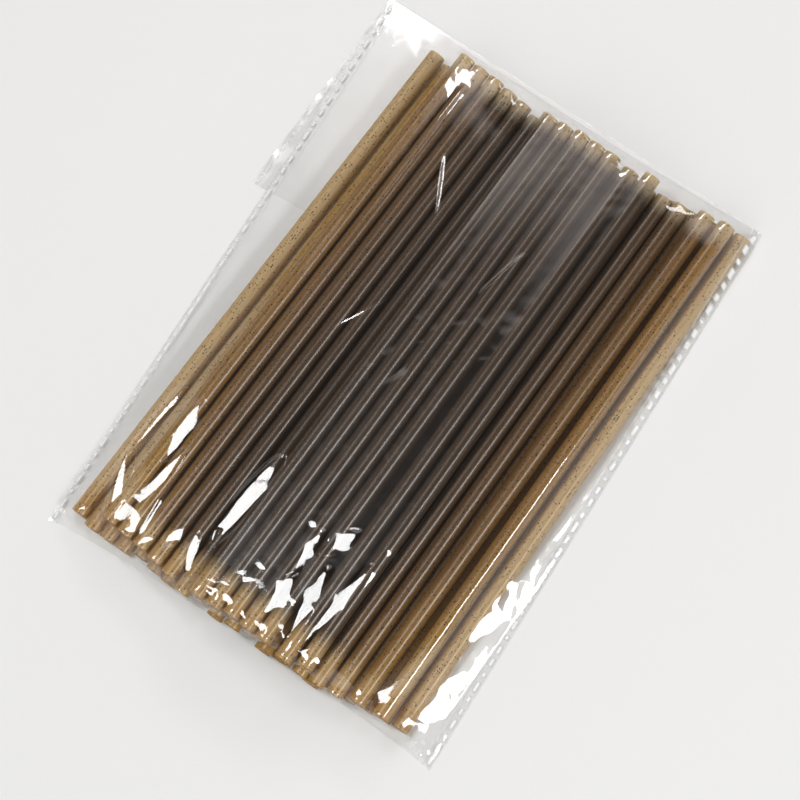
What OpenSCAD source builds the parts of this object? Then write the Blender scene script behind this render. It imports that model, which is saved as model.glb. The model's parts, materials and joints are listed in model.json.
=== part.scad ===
// Pack of straight drinking straws in a folded, side-welded bag of clear film.
// +X runs across the straws, +Y along them towards the bag's mouth and +Z up.
// The origin is on the surface that the pack lies on, under the middle of its box.

/* [Straw] */
// Outside diameter of a straw
straw_d = 6; // [5:0.1:8]
// Wall thickness of a straw
straw_wall = 0.25; // [0.15:0.05:0.6]
// Length of a straw
straw_len = 200; // [140:1:260]

/* [Bundle] */
// Gap between the straws of the bottom row at the mouth end
mouth_gap = 0.22; // [0.12:0.02:0.5]
// Gap between the straws of the bottom row at the closed end, where the bundle fans out
fold_gap = 0.56; // [0.3:0.02:0.9]
// Extra gap beside the first straw at the mouth end
first_slit = 0.8; // [0:0.1:1.5]
// Running clearance between a straw and the ones that it rests on
touch = 0.1; // [0.08:0.01:0.2]
// How far the bundle's middle lies to the right of the pack's middle
bundle_shift = 4.3; // [0:0.1:8]

/* [Bag] */
// Thickness of the film
film_t = 0.06; // [0.04:0.01:0.2]
// Clearance between the film and the straws that it wraps
film_gap = 0.12; // [0.1:0.01:0.4]
// Width of film left over across the bag, beyond the bundle
side_slack = 17.8; // [12:0.2:30]
// Length of film left over along the bag, beyond the straws
end_slack = 17; // [12:0.5:40]
// Width of each side weld
weld_w = 3; // [1.5:0.1:4]
// Angle between the bag's sides and the straws
bag_skew = 4; // [0:0.1:5]
// How much closer to the straws the closed end lies at its right corner
fold_rise = 5.5; // [0:0.1:7]

/* [Mouth] */
// Length of the mouth that is folded under the pack, at its left edge
flap_len = 82; // [40:1:120]
// How much shorter the folded mouth is at its right edge
flap_slant = 14; // [0:1:25]
// How far the folded mouth stands out beyond the bag's left corner
flap_out = 0.5; // [0:0.1:6]
// Gap between the folded mouth and the bag above it
ply_gap = 0.1; // [0.06:0.01:0.2]

/* [Hidden] */
straw_r = straw_d / 2;
contact = straw_d + touch;
mouth_pitch = straw_d + mouth_gap;
fold_pitch = straw_d + fold_gap;

// Height of the bag's lowest film, the floor under the straws and their lowest axis
bag_z = 2 * film_t + ply_gap;
floor_z = bag_z + film_t;
row_z = floor_z + film_gap + straw_r;

// Places count from the first straw of the bottom row in steps of one pitch.
// The rows above are looser than the bottom one and have straws missing towards the sides.
last_place = 20;
slit_place = first_slit / mouth_pitch;
bottom_places = [for (i = [0 : last_place])
    [i == 0 ? 0 : i + slit_place * (last_place - i) / (last_place - 1), i]];
middle_places = concat(
    [for (i = [0 : 12]) let (place = 1.82 + 1.053 * i) [place, place]],
    [[15.46, 15.42], [16.46, 16.48], [17.9, 17.7], [19.12, 19.04]]);
top_places = concat(
    [for (i = [0 : 4]) let (place = 7.92 + 1.02 * i) [place, place + 0.15]],
    [[13.32, 13.56], [14.44, 14.66]]);

// How far each straw has slid towards the mouth
bottom_slides = concat([-0.9, -2.6], [for (i = [2 : 15]) sin(110 * i) - 2], [-0.2, 0.2, 1.2, 1.8, 2.4]);
middle_slides = concat(
    [2.4, 1.6, 1.2, 0, -1, -3], [for (i = [6 : 11]) sin(130 * i) - 2], [-2.4, -2, -1.2, 0.8, 1.5]);
top_slides = [-1.3, -1.1, -0.3, -0.6, -0.7, -2.1, 0.2];

// A straw is [x at the mouth end, z there, x at the closed end, z there, slide]
function mouth_x(place) = bundle_shift + (place - last_place / 2) * mouth_pitch;
function fold_x(place) = bundle_shift + (place - last_place / 2) * fold_pitch;
function rest_z(x, below) = max([for (s = below)
    abs(x - s[0]) < contact ? s[1] + sqrt(contact * contact - (x - s[0]) * (x - s[0])) : row_z]);
function ends(row, at) = [for (s = row) [s[at], s[at + 1]]];
function settle(places, slides, below) = [for (i = [0 : len(places) - 1])
    let (x0 = mouth_x(places[i][0]), x1 = fold_x(places[i][1]))
    [x0, below == [] ? row_z : rest_z(x0, ends(below, 0)),
     x1, below == [] ? row_z : rest_z(x1, ends(below, 2)), slides[i]]];
bottom_row = settle(bottom_places, bottom_slides, []);
middle_row = settle(middle_places, middle_slides, bottom_row);
top_row = settle(top_places, top_slides, middle_row);
all_straws = concat(bottom_row, middle_row, top_row);

// The bag is a strip that leans by bag_skew, cut square to the pack by the fold at its mouth
bundle_w = last_place * fold_pitch + straw_d;
bag_w = bundle_w + side_slack;
pack_l = straw_len + end_slack;
mouth_y = pack_l / 2;
strip_half = bag_w / 2 / cos(bag_skew);
pack_w = flap_out + 2 * strip_half + (pack_l - fold_rise) * tan(bag_skew);
strip_x = pack_w / 2 - strip_half - (mouth_y - fold_rise) * tan(bag_skew);

// The films part over fold_ease at a weld or a fold, and the mouth's bend is one round bead
fold_ease = 0.4;
bend_d = 3 * film_t + ply_gap;
fold_y = mouth_y - bend_d / 2;
function strip_mid(y) = strip_x - y * tan(bag_skew);
function left_x(y, inset) = strip_mid(y) - strip_half + inset;
function right_x(y, inset) = strip_mid(y) + strip_half - inset;
function bag_corners(side, end) = [
    [left_x(fold_y - end, side), fold_y - end],
    [left_x(end - mouth_y, side), end - mouth_y],
    [right_x(fold_rise + end - mouth_y, side), fold_rise + end - mouth_y],
    [right_x(fold_y - end, side), fold_y - end]];

function two(n) = n < 10 ? str("0", n) : str(n);
function row_names(label, row) = [for (i = [1 : len(row)]) str("straw_", label, "_", two(i))];
bottom_names = row_names("bottom", bottom_row);
middle_names = row_names("middle", middle_row);
top_names = row_names("top", top_row);

// Puts a body made along +Z from 0 to straw_len onto a straw's axis
module along(s) {
    run = [s[2] - s[0], -straw_len, s[3] - s[1]];
    aim = run / norm(run);
    translate([(s[0] + s[2]) / 2, s[4], (s[1] + s[3]) / 2] - aim * straw_len / 2)
        rotate([0, acos(aim[2]), atan2(aim[1], aim[0])])
            children();
}

module straw(s) {
    color([0.66, 0.5, 0.31])
        along(s)
            difference() {
                cylinder(d = straw_d, h = straw_len, $fn = 48);
                translate([0, 0, -1])
                    cylinder(d = straw_d - 2 * straw_wall, h = straw_len + 2, $fn = 48);
            }
}

// Space that the straws take up, grown on every side
module bundle_space(grow) {
    for (s = all_straws)
        along(s)
            translate([0, 0, -grow])
                cylinder(r = straw_r + grow, h = straw_len + 2 * grow, $fn = 24);
}

// Level sheet in the bag's outline, pulled in at the sides and at the ends
module bag_sheet(side, end, z, thick) {
    translate([0, 0, z])
        linear_extrude(thick)
            polygon(bag_corners(side, end));
}

// The bag's two films, welded together along its sides
module flat_films() {
    bag_sheet(0, 0, bag_z, 2 * film_t);
}

// Taut film: it spans from the welds and folds over the outermost straws
module wrap_outside() {
    hull() {
        bag_sheet(weld_w, fold_ease, bag_z + film_t / 2, film_t);
        bundle_space(film_gap + film_t);
    }
}

module wrap_inside() {
    hull() {
        bag_sheet(weld_w + fold_ease, 2 * fold_ease, floor_z, film_t / 2);
        bundle_space(film_gap);
    }
}

// Mouth of the bag, folded back under it, and the bend that joins the two
module folded_mouth() {
    left = -pack_w / 2;
    right = left + bag_w;
    linear_extrude(2 * film_t)
        polygon([[left, fold_y], [left + fold_ease, mouth_y - flap_len],
                 [right, mouth_y - flap_len + flap_slant], [right, fold_y]]);
    translate([left + fold_ease, fold_y, 2 * film_t + ply_gap / 2])
        rotate([0, 90, 0])
            cylinder(d = bend_d, h = bag_w - 2 * fold_ease, $fn = 24);
}

module film_bag() {
    color([0.88, 0.92, 0.94, 0.35]) {
        difference() {
            union() {
                flat_films();
                wrap_outside();
            }
            wrap_inside();
        }
        folded_mouth();
    }
}

for (i = [0 : len(bottom_row) - 1]) straw(bottom_row[i]);
for (i = [0 : len(middle_row) - 1]) straw(middle_row[i]);
for (i = [0 : len(top_row) - 1]) straw(top_row[i]);
film_bag();
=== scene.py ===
"""Finishes a pack of speckled drinking straws in its clear film bag.

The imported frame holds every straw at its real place, so the straws keep their meshes and
get their speckled plastic here. The bag's plain solid is replaced by thin film: it is drawn
taut over the straws, creased, welded along its sides and folded under the pack at its mouth.
Lengths are in metres unless a docstring says otherwise.
"""

from __future__ import annotations

import json
import logging
import math
from dataclasses import dataclass, field
from enum import Enum
from typing import Sequence

import bpy
import numpy as np
from mathutils import Matrix, Vector
from mathutils.geometry import delaunay_2d_cdt

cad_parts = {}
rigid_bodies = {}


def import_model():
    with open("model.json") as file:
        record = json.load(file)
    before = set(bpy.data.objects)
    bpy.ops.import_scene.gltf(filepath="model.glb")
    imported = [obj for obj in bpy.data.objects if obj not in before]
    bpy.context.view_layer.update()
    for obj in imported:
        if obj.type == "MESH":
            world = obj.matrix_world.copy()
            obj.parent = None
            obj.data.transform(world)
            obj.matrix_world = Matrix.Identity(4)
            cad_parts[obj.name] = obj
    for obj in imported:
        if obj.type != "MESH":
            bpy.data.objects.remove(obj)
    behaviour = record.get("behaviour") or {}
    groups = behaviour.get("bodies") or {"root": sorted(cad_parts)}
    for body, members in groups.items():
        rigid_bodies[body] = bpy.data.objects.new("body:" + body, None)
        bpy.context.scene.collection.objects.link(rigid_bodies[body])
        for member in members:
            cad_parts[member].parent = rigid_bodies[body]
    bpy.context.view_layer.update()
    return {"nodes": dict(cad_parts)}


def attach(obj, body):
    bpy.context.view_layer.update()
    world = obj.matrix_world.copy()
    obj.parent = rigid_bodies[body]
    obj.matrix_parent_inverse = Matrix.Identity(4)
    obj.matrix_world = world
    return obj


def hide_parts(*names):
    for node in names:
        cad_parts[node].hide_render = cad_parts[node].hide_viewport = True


LOG = logging.getLogger("straw_pack")
MM = 0.001
BODY = "root"
BAG_NODE = "film_bag"

SHARP_ANGLE = math.radians(70)
LATTICE_SKEW = (math.sqrt(3) - 1) / 2
COUNTING_STEPS = 2000
STRETCH_CUT = 0.3
GRAZING_POWER = 5
NOISE_MEAN = 0.5
INSIDE_ONLY = 1
MERGE_DISTANCE = 1e-9

Array = np.ndarray
Pair = tuple[float, float]
Triple = tuple[float, float, float]


class Operation(Enum):
    """Shader maths that the materials use, by the name that Blender gives it."""

    ADD = "ADD"
    SUBTRACT = "SUBTRACT"
    MULTIPLY = "MULTIPLY"
    POWER = "POWER"
    MAXIMUM = "MAXIMUM"
    ABSOLUTE = "ABSOLUTE"


class Corner(Enum):
    """A corner of the bag, with the signs of its directions along X and Y."""

    CLOSED_LEFT = (-1, -1)
    CLOSED_RIGHT = (1, -1)
    MOUTH_LEFT = (-1, 1)
    MOUTH_RIGHT = (1, 1)


class Wire:
    """A node's output that takes part in Python expressions."""

    def __init__(self, graph: Graph, socket: bpy.types.NodeSocket) -> None:
        """Keeps the socket and the graph that new nodes go to."""
        self.graph = graph
        self.socket = socket

    def _joined(self, operation: Operation, left: Value, right: Value) -> Wire:
        """Adds a maths node.

        Args:
            operation: What it works out.
            left, right: The values that it takes.

        Returns:
            The result.
        """
        coloured = any(isinstance(v, Wire) and v.socket.type in ("RGBA", "VECTOR") for v in (left, right))
        kind = "ShaderNodeVectorMath" if coloured else "ShaderNodeMath"
        return self.graph.node(kind, {"operation": operation.value}, {0: left, 1: right})

    def __add__(self, other: Value) -> Wire:
        """Sum."""
        return self._joined(Operation.ADD, self, other)

    def __sub__(self, other: Value) -> Wire:
        """Difference."""
        return self._joined(Operation.SUBTRACT, self, other)

    def __rsub__(self, other: Value) -> Wire:
        """Difference, from the right."""
        return self._joined(Operation.SUBTRACT, other, self)

    def __mul__(self, other: Value) -> Wire:
        """Product."""
        return self._joined(Operation.MULTIPLY, self, other)

    def __pow__(self, other: Value) -> Wire:
        """Power."""
        return self._joined(Operation.POWER, self, other)

    def most(self, other: Value) -> Wire:
        """The greater of the two."""
        return self._joined(Operation.MAXIMUM, self, other)

    def size(self) -> Wire:
        """The value without its sign."""
        return self.graph.node("ShaderNodeMath", {"operation": Operation.ABSOLUTE.value}, {0: self})

    def sibling(self, output: str) -> Wire:
        """Another output of the same node."""
        return Wire(self.graph, self.socket.node.outputs[output])

    __radd__, __rmul__ = __add__, __mul__


Value = Wire | float | Sequence[float]


class Graph:
    """A material's or world's node tree, emptied and ready for new nodes."""

    def __init__(self, tree: bpy.types.NodeTree) -> None:
        """Empties the tree."""
        self.tree = tree
        tree.nodes.clear()

    def node(
        self, kind: str, settings: dict[str, object] | None = None,
        inputs: dict[str | int, Value] | None = None, output: str | int = 0,
    ) -> Wire:
        """Adds a node.

        Args:
            kind: The node's Blender type.
            settings: Its properties, which are set before its sockets.
            inputs: Values or wires by socket name or number.
            output: The output that is returned.

        Returns:
            The output, as a wire.
        """
        made = self.tree.nodes.new(kind)
        for name, value in (settings or {}).items():
            if name == "stops":
                self._set_stops(made.color_ramp, value)
            else:
                setattr(made, name, value)
        for name, value in (inputs or {}).items():
            self.feed(made.inputs[name], value)
        return Wire(self, made.outputs[output])

    @staticmethod
    def _set_stops(ramp: bpy.types.ColorRamp, stops: Sequence[tuple[float, Triple]]) -> None:
        """Gives a colour ramp its stops.

        Args:
            ramp: The ramp.
            stops: Places and colours, in order.
        """
        while len(ramp.elements) < len(stops):
            ramp.elements.new(1.0)
        for element, (place, colour) in zip(ramp.elements, stops):
            element.position, element.color = place, (*colour, 1.0)

    def feed(self, socket: bpy.types.NodeSocket, value: Value) -> None:
        """Links a wire to a socket, or sets the socket to a plain value.

        Args:
            socket: The socket.
            value: The wire or the value.
        """
        if isinstance(value, Wire):
            self.tree.links.new(value.socket, socket)
        elif socket.type == "RGBA" and len(value) == 3:
            socket.default_value = (*value, 1.0)
        else:
            socket.default_value = value

    def stepped(self, value: Wire, low: float, high: float) -> Wire:
        """A smooth step from 0 at low to 1 at high. low may be the greater of the two."""
        limits = {"Value": value, "From Min": low, "From Max": high}
        return self.node("ShaderNodeMapRange", {"interpolation_type": "SMOOTHSTEP"}, limits)

    def colour_mix(self, factor: Value, first: Value, second: Value) -> Wire:
        """Mixes two colours.

        Args:
            factor: The second colour's share.
            first, second: The colours.

        Returns:
            The mixed colour.
        """
        made = self.tree.nodes.new("ShaderNodeMix")
        made.data_type = "RGBA"
        for index, value in ((0, factor), (6, first), (7, second)):
            self.feed(made.inputs[index], value)
        return Wire(self, made.outputs[2])

    def shader_mix(self, factor: Value, first: Wire, second: Wire) -> Wire:
        """First shader at factor 0 and second shader at factor 1."""
        return self.node("ShaderNodeMixShader", inputs={0: factor, 1: first, 2: second})

    def mirror_share(self, square_on: float) -> Wire:
        """The share of light that a glossy surface mirrors, from square_on up to 1 at a grazing angle."""
        facing = self.node("ShaderNodeLayerWeight", inputs={"Blend": 0.5}, output="Facing")
        return square_on + (1 - square_on) * facing**GRAZING_POWER

    def close(self, shader: Wire, kind: str = "ShaderNodeOutputMaterial") -> None:
        """Ends the tree in its output node."""
        made = self.tree.nodes.new(kind)
        self.tree.links.new(shader.socket, made.inputs["Surface"])


def new_material(name: str) -> tuple[bpy.types.Material, Graph]:
    """Makes an empty node material.

    Args:
        name: The material's name.

    Returns:
        The material and its graph.
    """
    made = bpy.data.materials.new(name)
    made.use_nodes = True
    return made, Graph(made.node_tree)


@dataclass(frozen=True)
class SpeckledPlastic:
    """Translucent amber plastic with ground bran in it, as the straws are extruded from.

    Its base colour carries painted shade and painted light by its place in the bundle: deep brown in the
    middle of the pile, where light is lost between the straws, and pale in a straw that lies alone, at the
    straws' ends and towards the closed end. Its clearness follows the same painted level. Streaks and bran
    specks are the plastic's own colour.
    """

    name: str
    shade_tones: tuple[tuple[float, Triple], ...] = (
        (0.30, (0.050, 0.026, 0.010)),
        (0.50, (0.072, 0.036, 0.012)),
        (0.68, (0.15, 0.073, 0.020)),
        (0.85, (0.30, 0.155, 0.036)),
        (0.96, (0.50, 0.30, 0.07)),
        (1.0, (0.74, 0.58, 0.34)),
    )
    lit_mouth_tip: Triple = (0.62, 0.50, 0.33)
    lit_closed_tip: Triple = (0.61, 0.41, 0.17)
    speck: Triple = (0.010, 0.006, 0.003)
    painted_light_by: float = 0.0
    painted_light_at_closed_end: float = 0.17
    middle_x: float = 6.3 * MM
    half_width: float = 67 * MM
    pile: Pair = (-35 * MM, -95 * MM)
    tip_middle: float = 2.5 * MM
    tip_from: float = 88 * MM
    tip_to: float = 98 * MM
    clear_tint: Triple = (0.95, 0.79, 0.44)
    clearness: float = 0.13
    clearness_alone: float = 0.55
    alone_from: float = 0.80
    tip_clearness: float = 0.8
    gloss: float = 0.13
    roughness: float = 0.4
    coat: float = 1.0
    coat_roughness: float = 0.27
    coat_density: float = 1.6
    speck_spacing: float = 0.85 * MM
    speck_least: float = 0.11
    speck_reach: float = 0.27
    speck_power: int = 2
    speck_margin: float = 0.15
    speck_edge: float = 0.05
    speck_solid: float = 0.9
    streak_width: float = 0.9 * MM
    streak_length: float = 30 * MM
    streak_depth: float = 0.07

    def specks(self, graph: Graph, place: Wire) -> Wire:
        """Bran grains: each small cube of the straws' space holds one grain of random place and size.

        Args:
            graph: The material's graph.
            place: Where on the straw the surface is.

        Returns:
            1 in a grain and 0 elsewhere.
        """
        scaled = place * ((1 / self.speck_spacing,) * 3)
        cell = graph.node("ShaderNodeVectorMath", {"operation": "FLOOR"}, {0: scaled})
        chance = graph.node("ShaderNodeTexWhiteNoise", {"noise_dimensions": "3D"}, {"Vector": cell}, "Color")
        margin = self.speck_margin
        middle = cell + (margin,) * 3 + chance * ((1 - 2 * margin,) * 3)
        away = graph.node("ShaderNodeVectorMath", {"operation": "DISTANCE"}, {0: scaled, 1: middle}, "Value")
        radius = self.speck_least + chance.sibling("Value") ** self.speck_power * self.speck_reach
        return graph.stepped(away - radius, self.speck_edge, -self.speck_edge)

    def shade_and_streaks(self, graph: Graph, place: Wire) -> Wire:
        """The painted shade level of the base colour, with the plastic's own random streaks added.

        Args:
            graph: The material's graph.
            place: Where on the straw the surface is.

        Returns:
            0 in the middle of the pile and 1 at its sides: painted shade, darkest where light is lost
            between the straws.
        """
        x = graph.node("ShaderNodeSeparateXYZ", inputs={0: place})
        y = x.sibling("Y")
        stretched = place * (1 / self.streak_width, 1 / self.streak_length, 1 / self.streak_width)
        streaks = graph.node("ShaderNodeTexNoise", inputs={"Vector": stretched, "Scale": 1.0, "Detail": 0.0})
        # Painted shade: the base colour darkens towards the middle of the pile and pales towards its sides.
        beside = (x - self.middle_x).size() * (1 / self.half_width)
        # Painted light: the base colour pales towards the closed end, where the pile is thinner.
        closed_end_light = graph.stepped(y, *self.pile) * self.painted_light_at_closed_end
        return beside + closed_end_light + self.painted_light_by + (streaks - NOISE_MEAN) * self.streak_depth

    def material(self) -> bpy.types.Material:
        """Builds the material.

        Returns:
            The material.
        """
        made, graph = new_material(self.name)
        place = graph.node("ShaderNodeTexCoord", output="Object")
        shade_and_streaks = self.shade_and_streaks(graph, place)
        # The ramp turns the painted shade level into the base colour.
        ramp = graph.node("ShaderNodeValToRGB", {"stops": self.shade_tones}, {"Fac": shade_and_streaks})
        # Painted light: the straws' ends are painted paler, as light comes in at their open ends.
        y = graph.node("ShaderNodeSeparateXYZ", inputs={0: place}, output="Y")
        end = graph.stepped(y, -self.tip_from, self.tip_from)
        lit_tip = graph.colour_mix(end, self.lit_closed_tip, self.lit_mouth_tip)
        at_tip = graph.stepped((y - self.tip_middle).size(), self.tip_from, self.tip_to)
        bran = self.specks(graph, place)
        colour = graph.colour_mix(bran, graph.colour_mix(at_tip, ramp, lit_tip), self.speck)
        looks = {
            "Base Color": colour,
            "Roughness": self.roughness,
            "Specular IOR Level": self.gloss,
            "Coat Weight": self.coat,
            "Coat Roughness": self.coat_roughness,
            "Coat IOR": self.coat_density,
        }
        body = graph.node("ShaderNodeBsdfPrincipled", inputs=looks)
        clear = graph.node("ShaderNodeBsdfTransparent", inputs={"Color": self.clear_tint})
        alone = graph.stepped(shade_and_streaks, self.alone_from, 1.0).most(at_tip * self.tip_clearness)
        solid = (1 - self.clearness) - (self.clearness_alone - self.clearness) * alone
        graph.close(graph.shader_mix(solid.most(bran * self.speck_solid), clear, body))
        return made


@dataclass(frozen=True)
class ClearFilm:
    """Glossy clear film, whitened where it is welded and along a painted highlight beside the left weld. The
    weld dashes are crimp marks, painted whiter than the table partly as a painted highlight for their
    glints.
    """

    name: str = "clear_film"
    tint: Triple = (0.993, 0.994, 0.993)
    haze: float = 0.004
    weld_and_highlight_haze: float = 0.95
    weld_and_highlight_white: Triple = (0.97, 0.97, 0.97)
    weld_roughness: float = 0.3
    gloss: float = 0.072
    gloss_roughness: float = 0.05
    glow: float = 0.014
    glow_roughness: float = 0.24
    weld_mark: str = "weld_mark"

    def material(self) -> bpy.types.Material:
        """Builds the material.

        Returns:
            The material.
        """
        made, graph = new_material(self.name)
        # The mark holds the weld whitening, which is partly painted highlight, and the painted highlight
        # along the left weld.
        weld = graph.node("ShaderNodeAttribute", {"attribute_name": self.weld_mark}, output="Fac")
        clear = graph.node("ShaderNodeBsdfTransparent", inputs={"Color": self.tint})
        looks = {"Base Color": self.weld_and_highlight_white, "Roughness": self.weld_roughness}
        white = graph.node("ShaderNodeBsdfPrincipled", inputs=looks)
        shine = graph.node("ShaderNodeBsdfGlossy", inputs={"Roughness": self.gloss_roughness})
        film = graph.shader_mix(self.haze + weld * self.weld_and_highlight_haze, clear, white)
        glow = graph.node("ShaderNodeBsdfGlossy", inputs={"Roughness": self.glow_roughness})
        seen = 1 - graph.node("ShaderNodeLightPath", output="Is Shadow Ray")
        glowing = graph.shader_mix(seen * self.glow, film, glow)
        graph.close(graph.shader_mix(graph.mirror_share(self.gloss) * seen, glowing, shine))
        return made


@dataclass(frozen=True)
class PaleTable:
    """Smooth white table top."""

    name: str = "pale_table"
    colour: Triple = (0.84, 0.84, 0.835)
    roughness: float = 0.6

    def material(self) -> bpy.types.Material:
        """Builds the material.

        Returns:
            The material.
        """
        made, graph = new_material(self.name)
        looks = {"Base Color": self.colour, "Roughness": self.roughness}
        graph.close(graph.node("ShaderNodeBsdfPrincipled", inputs=looks))
        return made


def held(values: Array) -> Array:
    """Holds values between 0 and 1."""
    return np.clip(values, 0, 1)


def between(first: Array, second: Array, share: Array) -> Array:
    """Points on the line from first to second, at each share of its length."""
    return np.multiply.outer(1 - share, first) + np.multiply.outer(share, second)


def stretch_along(y: Array, middle: float, reach: float, gain: float) -> Array:
    """1 about the middle of a stretch of the pack and 0 beyond its soft ends. gain widens the part at 1."""
    return held(gain * np.exp(-(((y - middle) / reach) ** 2)) - STRETCH_CUT)


def mesh_object(name: str, points: Array, faces: Sequence[Sequence[int]]) -> bpy.types.Object:
    """Makes a mesh object that is smooth apart from its sharp edges.

    Args:
        name: The object's name.
        points: Its vertices, one row each.
        faces: Its faces, as vertex numbers.

    Returns:
        The object, linked to the scene.
    """
    mesh = bpy.data.meshes.new(name)
    mesh.from_pydata(points.tolist(), [], faces)
    mesh.shade_smooth()
    mesh.validate()
    mesh.set_sharp_from_angle(angle=SHARP_ANGLE)
    made = bpy.data.objects.new(name, mesh)
    bpy.context.scene.collection.objects.link(made)
    return made


@dataclass
class Straw:
    """One straw, as its CAD node has it."""

    mouth: Array
    closed: Array
    radius: float

    @classmethod
    def from_node(cls, node: bpy.types.Object) -> Straw:
        """Reads a straw's axis and radius from its mesh.

        Args:
            node: The straw's CAD node.

        Returns:
            The straw.
        """
        points = np.array([v.co for v in node.data.vertices])
        ends = [points[points[:, 1] * side > 0] for side in (1, -1)]
        mouth, closed = ((end.max(0) + end.min(0)) / 2 for end in ends)
        return cls(mouth, closed, float(np.ptp(ends[0][:, 2])) / 2)

    def top_at(self, x: Array, y: Array, grow: float) -> Array:
        """Finds the height of the straw's upper side.

        Args:
            x, y: The points' places.
            grow: How far the straw is grown on every side.

        Returns:
            The heights, or 0 beside the straw.
        """
        run = self.mouth - self.closed
        length = math.hypot(run[0], run[1])
        along_x, along_y = run[0] / length, run[1] / length
        share = ((x - self.closed[0]) * along_x + (y - self.closed[1]) * along_y) / length
        across = (x - self.closed[0]) * along_y - (y - self.closed[1]) * along_x
        reach = self.radius + grow
        rise = np.sqrt(np.clip(reach * reach - across * across, 0, None))
        over = (np.abs(across) < reach) & (share > -grow / length) & (share < 1 + grow / length)
        return np.where(over, self.closed[2] + share * run[2] + rise, 0.0)


@dataclass
class StrawBundle:
    """All the straws, which keep their CAD meshes."""

    nodes: dict[str, bpy.types.Object]
    # Lit and shaded copies of one plastic: painted light on the bottom row and painted shade on the top row.
    rows: tuple[SpeckledPlastic, ...] = (
        SpeckledPlastic(name="bottom_row_plastic_painted_lighter", painted_light_by=0.08),
        SpeckledPlastic(name="middle_row_plastic"),
        SpeckledPlastic(name="top_row_plastic_painted_darker", painted_light_by=-0.08),
    )
    row_heights: Pair = (5 * MM, 11 * MM)
    straws: list[Straw] = field(init=False)

    def __post_init__(self) -> None:
        """Reads the straws from their nodes."""
        self.straws = [Straw.from_node(node) for node in self.nodes.values()]

    def dress(self) -> None:
        """Gives every straw the plastic of its row, which carries that row's painted light or shade."""
        materials = [row.material() for row in self.rows]
        for node, straw in zip(self.nodes.values(), self.straws):
            height = (straw.mouth + straw.closed)[2] / 2
            row = sum(height > limit for limit in self.row_heights)
            node.data.materials.clear()
            node.data.materials.append(materials[row])

    def tops(self, x: Array, y: Array, grow: float) -> Array:
        """Height of the bundle's upper side, grown on every side, or 0 beside it."""
        return np.max([straw.top_at(x, y, grow) for straw in self.straws], axis=0)


@dataclass(frozen=True)
class Facets:
    """Random heights on a triangle lattice, joined by flat facets with sharp ridges, as in creased film."""

    cell: float
    seed: int
    turn: float = 0.0
    stretch: float = 1.0
    rise: float = 1.0
    table_side: int = 97
    wobble: float = 0.35
    wobble_rates: Pair = (1.3, 1.1)

    def lifted(self, x: Array, y: Array) -> Array:
        """The height at each point, up to rise, which is in millimetres."""
        return self.at(x, y) * self.rise * MM

    def at(self, x: Array, y: Array) -> Array:
        """Finds the height at each point.

        Args:
            x, y: The points' places.

        Returns:
            The heights, from -1 to 1.
        """
        rates, wobble = self.wobble_rates, self.wobble * self.cell
        wobble_x = x + wobble * np.sin(y / self.cell * rates[0] + self.seed)
        wobble_y = y + wobble * np.sin(x / self.cell * rates[1] + 2.0 * self.seed)
        turn = math.radians(self.turn)
        u = (wobble_x * math.cos(turn) + wobble_y * math.sin(turn)) / self.cell
        v = (wobble_y * math.cos(turn) - wobble_x * math.sin(turn)) / (self.cell * self.stretch)
        skew = (u + v) * LATTICE_SKEW
        i, j = np.floor(u + skew).astype(int), np.floor(v + skew).astype(int)
        a, b = u + skew - i, v + skew - j
        heights = np.random.default_rng(self.seed).uniform(-1, 1, (self.table_side, self.table_side))

        def corner(di: Array | int, dj: Array | int) -> Array:
            """Heights at a lattice corner of each point's triangle."""
            return heights[(i + di) % self.table_side, (j + dj) % self.table_side]

        first = a > b
        middle = corner(first.astype(int), 1 - first.astype(int))
        low, high = np.minimum(a, b), np.maximum(a, b)
        return corner(0, 0) * (1 - high) + middle * (high - low) + corner(1, 1) * low


@dataclass(frozen=True)
class Spot:
    """A place where the film is creased more or less, or hangs more. All but the gain is in millimetres."""

    x: float
    y: float
    across: float
    along: float
    gain: float

    def at(self, x: Array, y: Array) -> Array:
        """The spot's weight, which is 1 at its middle."""
        reach = ((x - self.x * MM) / (self.across * MM)) ** 2 + ((y - self.y * MM) / (self.along * MM)) ** 2
        return np.exp(-reach)


def gathered(spots: Sequence[Spot], x: Array, y: Array, common: float = 0.0) -> Array:
    """The spots' gains at each point, added to what is common to all points."""
    return sum((spot.gain * spot.at(x, y) for spot in spots), np.full(x.shape, common))


@dataclass(frozen=True)
class Crease:
    """A sharp fold that stands up from the film along a line, in millimetres."""

    start: Pair
    end: Pair
    height: float
    width: float
    roundness: float = 0.5

    def at(self, x: Array, y: Array) -> Array:
        """Finds the crease's height.

        Args:
            x, y: The points' places.

        Returns:
            The height at each point.
        """
        share, across, _ = shares_along(self.start, self.end, x, y)
        taper = held(np.sin(held(share) * math.pi)) ** self.roundness
        return self.height * MM * taper * held(1 - np.abs(across) / (self.width * MM))


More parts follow.
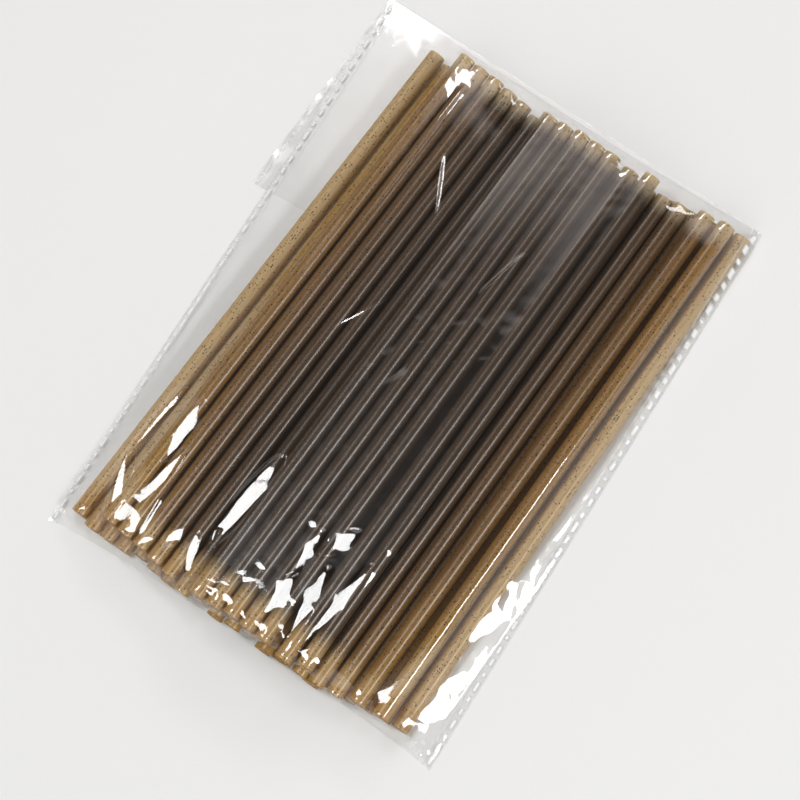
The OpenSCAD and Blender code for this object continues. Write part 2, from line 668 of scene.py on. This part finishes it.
@dataclass(frozen=True)
class Leaf:
    """A flat lens-shaped facet of film that rises evenly towards the mouth and mirrors the overhead lamp.

    Its lengths are in millimetres and its slope is in degrees.
    """

    mouth_end: Pair
    closed_end: Pair
    width: float
    slope: float = 3.4
    skirt: float = 2.0
    roundness: float = 0.6
    core: float = 0.9
    level_at: float = 0.6

    def pressed(self, height: Array, x: Array, y: Array) -> Array:
        """Turns the film into the facet.

        Args:
            height: The film's heights.
            x, y: The points' places.

        Returns:
            The film's heights with the facet in it.
        """
        share, across, length = shares_along(self.closed_end, self.mouth_end, x, y)
        inside = held(share)
        half = self.width / 2 * MM * np.sin(inside * math.pi) ** self.roundness
        beside = held((np.abs(across) - half) / (self.skirt * MM))
        past = held(np.abs(share - inside) * length / (self.skirt * MM))
        weight = (1 - beside) * (1 - past)
        level = float(height[weight > self.core].max())
        rise = length * math.tan(math.radians(self.slope))
        facet = level + rise * (inside - self.level_at)
        return height + (facet - height) * weight


def shares_along(start: Pair, end: Pair, x: Array, y: Array) -> tuple[Array, Array, float]:
    """Places points by a line.

    Args:
        start, end: The line's ends, in millimetres.
        x, y: The points' places, in metres.

    Returns:
        How far along the line each point lies, as a share of its length, how far beside it, and its length.
    """
    ax, ay = start[0] * MM, start[1] * MM
    run_x, run_y = end[0] * MM - ax, end[1] * MM - ay
    length = math.hypot(run_x, run_y)
    share = ((x - ax) * run_x + (y - ay) * run_y) / length**2
    across = ((x - ax) * run_y - (y - ay) * run_x) / length
    return share, across, length


def spread(stops: Sequence[Pair], length: float) -> Array:
    """Places points along a length, closer together where the pitch is smaller.

    Args:
        stops: Places along the length with the pitch there, in order.
        length: The whole length.

    Returns:
        The points, as shares of the length from 0 to 1.
    """
    places, pitches = zip(*stops)
    fine = np.linspace(0, length, COUNTING_STEPS)
    count = np.concatenate([[0], np.cumsum(np.diff(fine) / np.interp(fine[1:], places, pitches))])
    whole = np.linspace(0, count[-1], round(count[-1]) + 1)
    return np.interp(whole, count, fine) / length


def spans(corners: dict[Corner, Array]) -> Pair:
    """A film's width at its mouth and its length at its left side."""
    left = corners[Corner.MOUTH_LEFT]
    return float(corners[Corner.MOUTH_RIGHT][0] - left[0]), float(left[1] - corners[Corner.CLOSED_LEFT][1])


@dataclass
class BagOutline:
    """The bag's four corners, read from its CAD node, and how its ends bow inwards."""

    node: bpy.types.Object
    flap_top: float = 0.13 * MM
    flat_top: float = 0.4 * MM
    closed_bow: float = 3.6 * MM
    mouth_bow: float = 1.6 * MM
    bow_roundness: float = 0.5
    bow_power: int = 6
    corners: dict[Corner, Array] = field(init=False)
    flap_corners: dict[Corner, Array] = field(init=False)

    def __post_init__(self) -> None:
        """Finds the corners among the node's lowest vertices."""
        points = np.array([v.co for v in self.node.data.vertices])
        height = points[:, 2]
        self.corners = self._extremes(points[(height > self.flap_top) & (height < self.flat_top)])
        self.flap_corners = self._extremes(points[height < self.flap_top])

    @staticmethod
    def _extremes(points: Array) -> dict[Corner, Array]:
        """The outermost points by the two diagonals."""
        flat = points[:, :2]
        return {corner: flat[np.argmax(flat @ np.array(corner.value))] for corner in Corner}

    def left_at(self, y: Array) -> Array:
        """The x of the bag's left edge."""
        low, high = self.corners[Corner.CLOSED_LEFT], self.corners[Corner.MOUTH_LEFT]
        return low[0] + (y - low[1]) / (high[1] - low[1]) * (high[0] - low[0])

    def at(self, u: Array, v: Array) -> tuple[Array, Array]:
        """Points of the flat bag.

        Args:
            u: From 0 at the left edge to 1 at the right one.
            v: From 0 at the closed end to 1 at the mouth.

        Returns:
            Their x and y.
        """
        c = self.corners
        closed = between(c[Corner.CLOSED_LEFT], c[Corner.CLOSED_RIGHT], u)
        mouth = between(c[Corner.MOUTH_LEFT], c[Corner.MOUTH_RIGHT], u)
        place = closed * (1 - v)[..., None] + mouth * v[..., None]
        bow = np.sin(held(u) * math.pi) ** self.bow_roundness
        power = self.bow_power
        drawn_in = bow * (self.closed_bow * (1 - v) ** power - self.mouth_bow * v**power)
        return place[..., 0], place[..., 1] + drawn_in


@dataclass(frozen=True)
class Weld:
    """A seam along the film's side, a plain band with a row of pressed dashes in its middle."""

    width: float = 3.0 * MM
    dash_in: float = 1.5 * MM
    dash_half: float = 0.52 * MM
    period: float = 4.9 * MM
    share: float = 0.72
    height: float = 0.03 * MM
    least_reach: float = 0.85
    more_reach: float = 0.3
    reach_beat: float = 2.4
    end_sharpness: float = 12
    side_sharpness: float = 1.6
    point_places: tuple[float, ...] = (0, 0.5, 1.0, 1.25, 1.5, 1.75, 2.0, 2.5, 3.0)

    def shares(self, width: float, count: int) -> Array:
        """Shares of a film's width at which it has points, closer in its welds, with count between those."""
        weld = np.array(self.point_places) * MM / width
        return np.concatenate([weld[:-1], np.linspace(weld[-1], 1 - weld[-1], count), 1 - weld[:-1][::-1]])

    def dashes(self, from_edge: Array, along: Array) -> Array:
        """Finds the dashes.

        Args:
            from_edge: Distance from the film's side edge.
            along: Distance along that edge.

        Returns:
            1 on a dash and 0 beside it.
        """
        turn = along / self.period
        change = self.more_reach * np.sin(np.floor(turn) * self.reach_beat)
        reach = self.share / 2 * (self.least_reach + change)
        on = held((reach - np.abs(turn % 1.0 - 0.5)) * self.end_sharpness)
        return on * held(self.side_sharpness - np.abs(from_edge - self.dash_in) / self.dash_half)


@dataclass
class FilmBag:
    """The bag's two films: one over the straws and one under them."""

    bundle: StrawBundle
    outline: BagOutline
    material: bpy.types.Material
    weld: Weld = Weld()
    pitch_across: float = 0.6 * MM
    row_pitches: tuple[Pair, ...] = (
        (0, 0.5 * MM), (0.3, 0.5 * MM), (0.4, 0.95 * MM), (0.85, 0.95 * MM), (0.9, 0.5 * MM)
    )
    lower_pitch: float = 3.0 * MM
    clearance: float = 0.12 * MM
    least_clearance: float = 0.072 * MM
    edge_height: float = 0.25 * MM
    lower_height: float = 0.22 * MM
    lower_dip: float = 0.03 * MM
    lower_waves: Facets = Facets(8 * MM, 17, turn=15, rise=0.05)
    rim_gap: float = 0.6
    relax_steps: int = 1000
    relax_share: float = 0.85
    smooth_steps: int = 2
    common_slack: float = 9.0
    slack: tuple[Spot, ...] = (
        Spot(68, -20, 7, 120, 90),
        Spot(75, 20, 5, 60, 110),
        Spot(5, 68, 62, 42, -5),
    )
    flank_slope: float = 33.5
    flank_middle: float = -62 * MM
    flank_reach: float = 34 * MM
    flank_gain: float = 1.6
    leaves: tuple[Leaf, ...] = (
        Leaf((-56.6, -46.2), (-58.6, -72.9), 1.9, 4.4),
        Leaf((-47.7, -48.1), (-45.8, -69.8), 4.0, 4.4),
        Leaf((-58.0, -74.7), (-49.6, -96.1), 3.4),
        Leaf((-41.5, -64.1), (-44.0, -87.4), 3.2),
        Leaf((-12.5, -48.8), (-14.2, -84.0), 5.2, 4.0),
        Leaf((-26.2, -86.0), (-28.1, -93.1), 3.0),
        Leaf((-20.5, -84.6), (-16.0, -97.0), 3.0),
        Leaf((13.8, -61.5), (13.3, -77.1), 2.6),
        Leaf((23.6, -54.9), (17.7, -65.9), 4.0, 4.4),
        Leaf((15.1, -78.6), (14.1, -93.5), 5.0),
        Leaf((23.0, -70.3), (25.4, -94.0), 3.2),
        Leaf((34.4, -61.7), (30.1, -94.7), 3.0),
        Leaf((9.8, -59.0), (9.4, -62.5), 1.8),
        Leaf((36.3, -52.6), (36.0, -55.6), 1.6),
    )
    creases: tuple[Crease, ...] = (
        Crease((-41.9, -46.3), (-38.1, -95.0), 0.5, 0.9),
        Crease((-14.7, -78.9), (-10.5, -94.6), 0.5, 0.9),
        Crease((-41.1, 38.0), (-40.7, 93.0), 0.6, 1.2),
        Crease((-20.8, 48.5), (-32.0, 68.0), 0.5, 1.0),
        Crease((9.0, 33.0), (13.0, 53.0), 0.4, 0.9),
        Crease((-27.0, -3.0), (-16.0, 17.0), 0.5, 1.0),
    )
    spots: tuple[Spot, ...] = (
        Spot(76.5, -66, 7, 30, 1.3),
        Spot(-63, -104, 10, 9, 5.0),
        Spot(76, -99, 9, 8, 4.5),
        Spot(-72, 100, 16, 9, 4.0),
        Spot(0, 0, 40, 34, 0.8),
        Spot(14, -90, 16, 9, 0.9),
    )
    calm: Spot = Spot(5, 62, 60, 34, 0.65)
    common_crumple: float = 0.7
    folds: tuple[Facets, ...] = (
        Facets(21 * MM, 3, turn=8, stretch=2.2, rise=0.12),
        Facets(9 * MM, 11, turn=-20, stretch=1.5, rise=0.1),
        Facets(3.6 * MM, 29, turn=35, rise=0.05),
    )
    rim_crumple: float = 0.15
    crumple_ease: float = 3 * MM
    crinkles: tuple[Spot, ...] = (
        Spot(-76, 99, 11, 10, 0.42),
        Spot(-54, 104, 16, 4, 0.25),
        Spot(-64, -105, 9, 6, 0.3),
        Spot(79, -99, 6, 8, 0.4),
        Spot(0, -100, 62, 5, 0.13),
        Spot(12, 8, 16, 13, 0.035),
        Spot(-72, 60, 4, 40, 0.06),
    )
    crinkle_layers: tuple[Facets, ...] = (
        Facets(1.5 * MM, 47, turn=41, rise=0.5),
        Facets(2.4 * MM, 53, turn=12),
        Facets(4.6 * MM, 59, turn=-31, stretch=1.6),
    )
    crinkle_lift: float = 1.5
    crinkle_ease: float = 1.5 * MM
    inner_line_half: float = 0.5 * MM
    inner_line_mark: float = 0.22
    glare_in: float = 1.9 * MM
    glare_half: float = 0.6 * MM
    glare_middle: float = -22 * MM
    glare_reach: float = 26 * MM
    glare_gain: float = 1.4
    glare_sharpness: float = 1.5
    glare_change: float = 0.25
    glare_facets: Facets = Facets(3 * MM, 61)

    def drawn_taut(self, x: Array, y: Array) -> Array:
        """Draws a film that is held at its outline, rests on the straws and hangs where it is slack.

        Args:
            x, y: The points' places.

        Returns:
            The film's heights.
        """
        support = self.bundle.tops(x, y, self.clearance)
        curvature = gathered(self.slack, x, y, self.common_slack)
        sag = curvature * self.pitch_across**2 / 4
        height = np.maximum(support, self.edge_height)
        self.hold_rim(height)
        height = np.stack([self.spanned(line, at) for line, at in zip(height.T, x.T)], axis=1)
        for _ in range(self.relax_steps):
            rest = np.maximum(support[1:-1, 1:-1], self.edge_height)
            hung = np.maximum(self.neighbour_mean(height) - sag[1:-1, 1:-1], rest)
            height[1:-1, 1:-1] += self.relax_share * (hung - height[1:-1, 1:-1])
        for _ in range(self.smooth_steps):
            height[1:-1, 1:-1] = (height[1:-1, 1:-1] + self.neighbour_mean(height)) / 2
        return height

    def hold_rim(self, height: Array) -> None:
        """Sets a grid's outermost points to the height of the bag's edge."""
        height[0], height[-1], height[:, 0], height[:, -1] = (self.edge_height,) * 4

    @staticmethod
    def spanned(heights: Array, x: Array) -> Array:
        """Draws a line straight from crest to crest.

        Args:
            heights: The heights that it spans over.
            x: The points' x, in rising order.

        Returns:
            The line's heights.
        """
        crests = [0]
        for ahead in range(1, len(x)):
            while len(crests) > 1:
                before, last = crests[-2:]
                run, rise = x[last] - x[before], heights[last] - heights[before]
                if rise * (x[ahead] - x[before]) > run * (heights[ahead] - heights[before]):
                    break
                crests.pop()
            crests.append(ahead)
        return np.interp(x, x[crests], heights[crests])

    @staticmethod
    def neighbour_mean(height: Array) -> Array:
        """The mean of the four heights around each inner point."""
        return (height[:-2, 1:-1] + height[2:, 1:-1] + height[1:-1, :-2] + height[1:-1, 2:]) / 4

    def crinkled(self, x: Array, y: Array) -> Array:
        """How far the film's small sharp crinkles stand up."""
        layers = sum(layer.at(x, y) * layer.rise for layer in self.crinkle_layers)
        return gathered(self.crinkles, x, y) * MM * (layers + self.crinkle_lift)

    def flank_pressed(self, height: Array, x: Array, y: Array) -> Array:
        """Draws the film straight down from the last straw on the right to the table.

        Args:
            height: The film's heights.
            x, y: The points' places.

        Returns:
            The film's heights with the straight flank in them.
        """
        last = max(self.bundle.straws, key=lambda straw: straw.closed[0])
        share = (y - last.closed[1]) / (last.mouth[1] - last.closed[1])
        axis = last.closed[0] + share * (last.mouth[0] - last.closed[0])
        slope = math.radians(self.flank_slope)
        reach = last.radius + self.clearance
        past = x - axis - reach * math.sin(slope)
        crest = last.closed[2] + reach * math.cos(slope)
        plane = np.maximum(crest - past * math.tan(slope), self.edge_height)
        near = stretch_along(y, self.flank_middle, self.flank_reach, self.flank_gain)
        return height + (plane - height) * near * held(past / MM)

    def crumpled(self, x: Array, y: Array) -> Array:
        """Creases the film.

        Args:
            x, y: The points' places.

        Returns:
            How far the creases stand up or dip.
        """
        weight = gathered(self.spots, x, y, self.common_crumple)
        broad, middle, fine = (layer.lifted(x, y) for layer in self.folds)
        raised = sum(crease.at(x, y) for crease in self.creases)
        return (broad + (middle + fine) * weight) * (1 - self.calm.at(x, y)) + raised

    def upper_film(self) -> tuple[Array, Array]:
        """Builds the upper film.

        Returns:
            Its points as a grid, and their marks: weld whitening and the painted highlight along the left
                weld.
        """
        width, length = spans(self.outline.corners)
        columns = self.weld.shares(width, round((width - 2 * self.weld.width) / self.pitch_across) + 1)
        rows = spread([(share * length, pitch) for share, pitch in self.row_pitches], length)
        u, v = np.meshgrid(columns, rows, indexing="ij")
        x, y = self.outline.at(u, v)
        from_edge, from_end = np.minimum(u, 1 - u) * width, np.minimum(v, 1 - v) * length
        dash = self.weld.dashes(from_edge, v * length)
        height = self.flank_pressed(self.drawn_taut(x, y), x, y)
        for leaf in self.leaves:
            height = leaf.pressed(height, x, y)
        inward = held((from_edge - self.weld.width) / self.crumple_ease) * held(from_end / self.crumple_ease)
        crumple = self.rim_crumple + (1 - self.rim_crumple) * inward
        free = held(from_edge / self.crinkle_ease) * held(from_end / self.crinkle_ease)
        height = height + self.crumpled(x, y) * crumple + self.crinkled(x, y) * free
        height += dash * self.weld.height
        support = self.bundle.tops(x, y, self.least_clearance)
        height = np.maximum(height, np.maximum(support, self.edge_height))
        self.hold_rim(height)
        line = held(1 - np.abs(from_edge - self.weld.width) / self.inner_line_half) * self.inner_line_mark
        # The marks whiten the film: weld dashes, the weld's inner line and the painted highlight along the
        # left weld.
        marks = np.maximum(np.maximum(dash, line), self.glare(x, y, u, from_edge))
        return np.stack([x, y, height], axis=-1), marks

    def glare(self, x: Array, y: Array, u: Array, from_edge: Array) -> Array:
        """Finds the painted highlight along the left weld, a white band that stands in for glints off folds
        in the film there.

        Args:
            x, y: The points' places.
            u: From 0 at the left edge to 1 at the right one.
            from_edge: Distance from the nearer side.

        Returns:
            How far each point is painted white.
        """
        band = held(self.glare_sharpness - np.abs(from_edge - self.glare_in) / self.glare_half)
        band *= np.where(u < 0.5, 1, 0)
        band *= stretch_along(y, self.glare_middle, self.glare_reach, self.glare_gain)
        return band * (1 - self.glare_change + self.glare_change * self.glare_facets.at(x, y))

    def build(self) -> bpy.types.Object:
        """Builds the bag's two films as one closed mesh.

        Returns:
            The piece.
        """
        grid, marks = self.upper_film()
        across, along = grid.shape[:2]
        points = grid.reshape(-1, 3)
        number = np.arange(across * along).reshape(across, along)
        around = [number[:-1, :-1], number[1:, :-1], number[1:, 1:], number[:-1, 1:]]
        quads = np.stack(around, axis=-1).reshape(-1, 4)
        rim = np.concatenate([number[:, 0], number[-1, 1:], number[-2::-1, -1], number[0, -2:0:-1]])
        lower, lower_faces = self.lower_film(points, rim)
        faces = quads.tolist() + lower_faces
        made = mesh_object("film_pouch", np.concatenate([points, lower]), faces)
        return finished_film(made, self.material, np.concatenate([marks.reshape(-1), np.zeros(len(lower))]))

    def lower_film(self, points: Array, rim: Array) -> tuple[Array, list[list[int]]]:
        """The lower film, which shares the upper film's rim.

        Args:
            points: The upper film's points.
            rim: Its rim, as point numbers in order.

        Returns:
            The points inside the rim, and the faces, numbered after the upper film's points.
        """
        low, high = points[rim].min(0), points[rim].max(0)
        xs = np.arange(low[0] + self.lower_pitch, high[0], self.lower_pitch)
        ys = np.arange(low[1] + self.lower_pitch, high[1], self.lower_pitch)
        inside = [(x, y) for x in xs for y in ys if self.within(points[rim], x, y)]
        flat = [Vector(points[i][:2]) for i in rim] + [Vector(p) for p in inside]
        loop = [(i, (i + 1) % len(rim)) for i in range(len(rim))]
        _, _, triangles, origins, _, _ = delaunay_2d_cdt(flat, loop, [], INSIDE_ONLY, MERGE_DISTANCE)
        sources = [origin[0] for origin in origins]
        made = np.array(inside)
        heights = self.lower_height + self.lower_waves.lifted(made[:, 0], made[:, 1]) - self.lower_dip
        number = {i: int(rim[i]) if i < len(rim) else len(points) + i - len(rim) for i in sources}
        faces = [[number[sources[i]] for i in reversed(face)] for face in triangles]
        return np.column_stack([made, heights]), faces

    def within(self, rim: Array, x: float, y: float) -> bool:
        """Tests a point for the lower film.

        Args:
            rim: The rim's points in order.
            x, y: The point's place.

        Returns:
            Whether it lies inside the rim and isn't too near to it.
        """
        near = self.rim_gap * self.lower_pitch
        before, after = rim, np.roll(rim, -1, axis=0)
        crosses = (before[:, 1] > y) != (after[:, 1] > y)
        span = np.where(crosses, after[:, 1] - before[:, 1], 1)
        at = before[:, 0] + (y - before[:, 1]) / span * (after[:, 0] - before[:, 0])
        inside = np.count_nonzero(crosses & (at > x)) % 2 == 1
        return bool(inside and np.min(np.hypot(rim[:, 0] - x, rim[:, 1] - y)) > near)


@dataclass
class FoldedMouth:
    """The long mouth of the bag, folded back under it, with the bend that joins the two."""

    outline: BagOutline
    material: bpy.types.Material
    weld: Weld = Weld()
    pitch: float = 1.2 * MM
    low: float = 0.03 * MM
    high: float = 0.15 * MM
    bend_radius: float = 0.14 * MM
    bend_steps: int = 8
    ruffle: float = 0.2 * MM
    ruffle_below: float = 0.8
    ruffle_ease: float = 1.5 * MM
    ruffle_end: float = 12
    ruffles: Facets = Facets(5 * MM, 41, turn=20)
    wrinkles: Facets = Facets(7 * MM, 43, rise=0.02)
    dash_rise: float = 0.5
    dash_mark: float = 0.6

    def build(self) -> bpy.types.Object:
        """Builds the folded mouth as one thin closed slab with a round bead at its bend.

        Returns:
            The piece.
        """
        rings, marks, rows = self.rings()
        faces = self.slab_faces(*rings.shape[:2], rows)
        made = mesh_object("film_mouth", rings.reshape(-1, 3), faces)
        return finished_film(made, self.material, marks.reshape(-1))

    def rings(self) -> tuple[Array, Array, int]:
        """Finds the slab's cross-sections.

        Returns:
            The points of each section, their weld marks and how many of them lie on one face of the slab.
        """
        corners = self.outline.flap_corners
        left, right = corners[Corner.MOUTH_LEFT], corners[Corner.MOUTH_RIGHT]
        free_left, free_right = corners[Corner.CLOSED_LEFT], corners[Corner.CLOSED_RIGHT]
        width, length = spans(corners)
        shares = self.weld.shares(width, round(width / self.pitch))
        u, v = np.meshgrid(shares, np.linspace(0, 1, round(length / self.pitch) + 1), indexing="ij")
        free, fold = between(free_left, free_right, shares), between(left, right, shares)
        place = free[:, None] * (1 - v)[..., None] + fold[:, None] * v[..., None]
        x, y = place[..., 0], place[..., 1]
        dash = self.weld.dashes(np.minimum(u, 1 - u) * width, v * length)
        uncovered = held((self.outline.left_at(y) - x) / self.ruffle_ease) * held((1 - v) * self.ruffle_end)
        waves = (self.ruffles.at(x, y) + 1) * self.ruffle * uncovered
        top = self.high + self.wrinkles.lifted(x, y) + waves + dash * self.weld.height * self.dash_rise
        bottom = self.low + waves * self.ruffle_below
        angles = np.linspace(-math.pi / 2, math.pi / 2, self.bend_steps + 1)
        middle = self.low + self.bend_radius
        bend_start = fold[:, 1:] - self.bend_radius
        bend_y = bend_start + self.bend_radius * np.cos(angles)
        bend_x = np.broadcast_to(fold[:, :1], bend_y.shape)
        bend_z = np.broadcast_to(middle + self.bend_radius * np.sin(angles), bend_y.shape)
        short = np.minimum(y, bend_start)
        ring_x = np.concatenate([x, bend_x, x[:, ::-1]], axis=1)
        ring_y = np.concatenate([short, bend_y, short[:, ::-1]], axis=1)
        ring_z = np.concatenate([bottom, bend_z, top[:, ::-1]], axis=1)
        plain = np.zeros((len(dash), x.shape[1] + len(angles)))
        # Its dashes are whitened like the bag's weld dashes, partly as a painted highlight.
        marks = np.concatenate([plain, dash[:, ::-1] * self.dash_mark], axis=1)
        return np.stack([ring_x, ring_y, ring_z], axis=-1), marks, x.shape[1]

    @staticmethod
    def slab_faces(across: int, around: int, rows: int) -> list[list[int]]:
        """Joins the slab's cross-sections and closes its two ends.

        Args:
            across: How many cross-sections there are.
            around: How many points each of them has.
            rows: How many of its points lie on one face of the slab.

        Returns:
            The faces, as point numbers.
        """
        number = np.arange(across * around).reshape(across, around)
        ahead = np.roll(number, -1, axis=1)
        sides = np.stack([number[:-1], number[1:], ahead[1:], ahead[:-1]], axis=-1).reshape(-1, 4)
        caps = []
        for ring, way in ((number[0].tolist(), 1), (number[-1].tolist(), -1)):
            back = ring[::-1]
            strips = [[ring[i], ring[i + 1], back[i + 1], back[i]] for i in range(rows - 1)]
            caps += [face[::way] for face in (*strips, ring[rows - 1 : around - rows + 1])]
        return sides.tolist() + caps


def finished_film(piece: bpy.types.Object, material: bpy.types.Material, marks: Array) -> bpy.types.Object:
    """Dresses a piece of the bag's film and puts it in the place of the bag's plain solid.

    Args:
        piece: The piece.
        material: The film's material.
        marks: How far each vertex is whitened by a weld or by the painted highlight along the left weld.

    Returns:
        The piece.
    """
    stored = piece.data.attributes.new(ClearFilm.weld_mark, "FLOAT", "POINT")
    stored.data.foreach_set("value", marks.astype(np.float32))
    piece.data.materials.append(material)
    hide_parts(BAG_NODE)
    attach(piece, BODY)
    LOG.info("%s: %d faces", piece.name, len(piece.data.polygons))
    return piece


@dataclass(frozen=True)
class Softbox:
    """A soft studio lamp that faces the pack."""

    name: str
    toward: Triple
    distance: float
    width: float
    height: float
    brightness: float
    width_along: Triple | None = None
    fading: bool = False
    colour: Triple = (1.0, 1.0, 1.0)
    fade_depth: float = 0.55

    def fade(self, light: bpy.types.Light) -> None:
        """Lets the lamp's brightness fade towards its edges.

        Args:
            light: The lamp's light.
        """
        light.use_nodes = True
        graph = Graph(light.node_tree)
        across = graph.node("ShaderNodeNewGeometry", output="Parametric")
        u = graph.node("ShaderNodeSeparateXYZ", inputs={0: across})
        v = u.sibling("Y")
        # The product of the four shares is 1/16 in the lamp's middle.
        strength = graph.stepped((1 - u) * u * (1 - v) * v * 16, 0.0, self.fade_depth)
        shine = graph.node("ShaderNodeEmission", inputs={"Strength": strength})
        graph.close(shine, "ShaderNodeOutputLight")

    def place(self, aim: Vector) -> None:
        """Puts the lamp in the scene.

        Args:
            aim: The point that it faces.
        """
        light = bpy.data.lights.new(self.name, "AREA")
        light.shape = "RECTANGLE"
        light.size, light.size_y = self.width, self.height
        light.energy = self.brightness * math.pi * self.width * self.height
        light.color = self.colour
        if self.fading:
            self.fade(light)
        made = bpy.data.objects.new(self.name, light)
        direction = Vector(self.toward).normalized()
        if self.width_along:
            along = Vector(self.width_along)
            side = (along - along.dot(direction) * direction).normalized()
        else:
            side = Vector((0, 1, 0)).cross(direction).normalized()
        up = direction.cross(side)
        turn = Matrix((side, up, direction)).transposed()
        made.matrix_world = Matrix.Translation(aim + direction * self.distance) @ turn.to_4x4()
        made.visible_camera = False
        bpy.context.scene.collection.objects.link(made)


@dataclass(frozen=True)
class Studio:
    """The table, the lamps, the room's light and the camera."""

    aim: Triple = (3.568 * MM, -7.405 * MM, 0.0)
    azimuth: float = -57.76
    elevation: float = 72.354
    lean: float = 36.25
    distance: float = 1.00975
    lens: float = 135.704
    sensor: float = 36.0
    table_side: float = 6.0
    zenith: float = 0.05
    horizon: float = 1.03
    overhead_from: float = 0.5
    lamps: tuple[Softbox, ...] = (
        Softbox("side_lamp", (0.79, 0.0, 0.6), 1.2, 0.22, 0.48, 16.5),
        Softbox("top_lamp", (-0.27, -0.135, 0.95), 1.2, 0.4, 0.28, 14.5),
        Softbox(
            "ceiling_panel", (-0.2814, 0.4720, 0.8355), 1.26, 0.85, 0.62, 1.5,
            width_along=(0.081, 0.069, 0.0), fading=True, colour=(1.0, 0.91, 0.88),
        ),
        Softbox("mouth_lamp", (-0.41, 0.385, 0.827), 1.13, 0.14, 0.1, 18.0),
        Softbox("back_strip", (-0.1, 0.85, 0.5), 1.2, 0.8, 0.12, 9.0),
        Softbox("front_fill", (0.1, -0.75, 0.66), 1.3, 1.0, 0.8, 1.2),
    )

    def build(self) -> None:
        """Builds everything that isn't the pack."""
        self.make_camera()
        self.make_table()
        self.make_room_light()
        for lamp in self.lamps:
            lamp.place(Vector(self.aim))
        scene = bpy.context.scene
        scene.view_settings.view_transform = "Standard"
        scene.cycles.transparent_max_bounces = 48
        scene.cycles.max_bounces = 4
        scene.cycles.diffuse_bounces = 2
        scene.cycles.glossy_bounces = 2
        scene.cycles.caustics_reflective = False
        scene.cycles.caustics_refractive = False

    def make_camera(self) -> None:
        """Puts the camera at the photograph's angle."""
        azimuth, elevation = math.radians(self.azimuth), math.radians(self.elevation)
        level = math.cos(elevation)
        ahead = Vector((math.sin(azimuth) * level, math.cos(azimuth) * level, -math.sin(elevation)))
        lean = math.radians(self.lean)
        heading = Vector((-math.sin(lean), math.cos(lean), 0))
        up = (heading - heading.dot(ahead) * ahead).normalized()
        right = ahead.cross(up)
        data = bpy.data.cameras.new("camera")
        data.lens, data.sensor_width = self.lens, self.sensor
        camera = bpy.data.objects.new("camera", data)
        turn = Matrix((right, up, -ahead)).transposed()
        camera.matrix_world = Matrix.Translation(Vector(self.aim) - ahead * self.distance) @ turn.to_4x4()
        bpy.context.scene.collection.objects.link(camera)
        bpy.context.scene.camera = camera

    def make_table(self) -> None:
        """Lays the table top under the pack."""
        half = self.table_side / 2
        points = np.array([(-half, -half, 0), (half, -half, 0), (half, half, 0), (-half, half, 0)])
        table = mesh_object("table", points, [(0, 1, 2, 3)])
        table.data.materials.append(PaleTable().material())

    def make_room_light(self) -> None:
        """Lights the room evenly, pale at eye level and dimmer overhead."""
        world = bpy.data.worlds.new("room")
        world.use_nodes = True
        bpy.context.scene.world = world
        graph = Graph(world.node_tree)
        way = graph.node("ShaderNodeTexCoord", output="Generated")
        height = graph.node("ShaderNodeSeparateXYZ", inputs={0: way}, output="Z")
        shade = graph.stepped(height, 0.0, self.overhead_from)
        colour = graph.colour_mix(shade, (self.horizon,) * 3, (self.zenith,) * 3)
        graph.close(graph.node("ShaderNodeBackground", inputs={"Color": colour}), "ShaderNodeOutputWorld")


def clear_start_file() -> None:
    """Removes what Blender's own start file holds."""
    for thing in list(bpy.data.objects):
        bpy.data.objects.remove(thing)


def main() -> None:
    """Builds the pack's looks around its frame."""
    logging.basicConfig(level=logging.INFO, format="%(name)s: %(message)s")
    clear_start_file()
    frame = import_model()
    Studio().build()
    straw_nodes = {name: node for name, node in frame["nodes"].items() if name.startswith("straw_")}
    bundle = StrawBundle(straw_nodes)
    bundle.dress()
    LOG.info("%d straws dressed", len(straw_nodes))
    film = ClearFilm().material()
    outline = BagOutline(frame["nodes"][BAG_NODE])
    FilmBag(bundle, outline, film).build()
    FoldedMouth(outline, film).build()


if __name__ == "__main__":
    main()
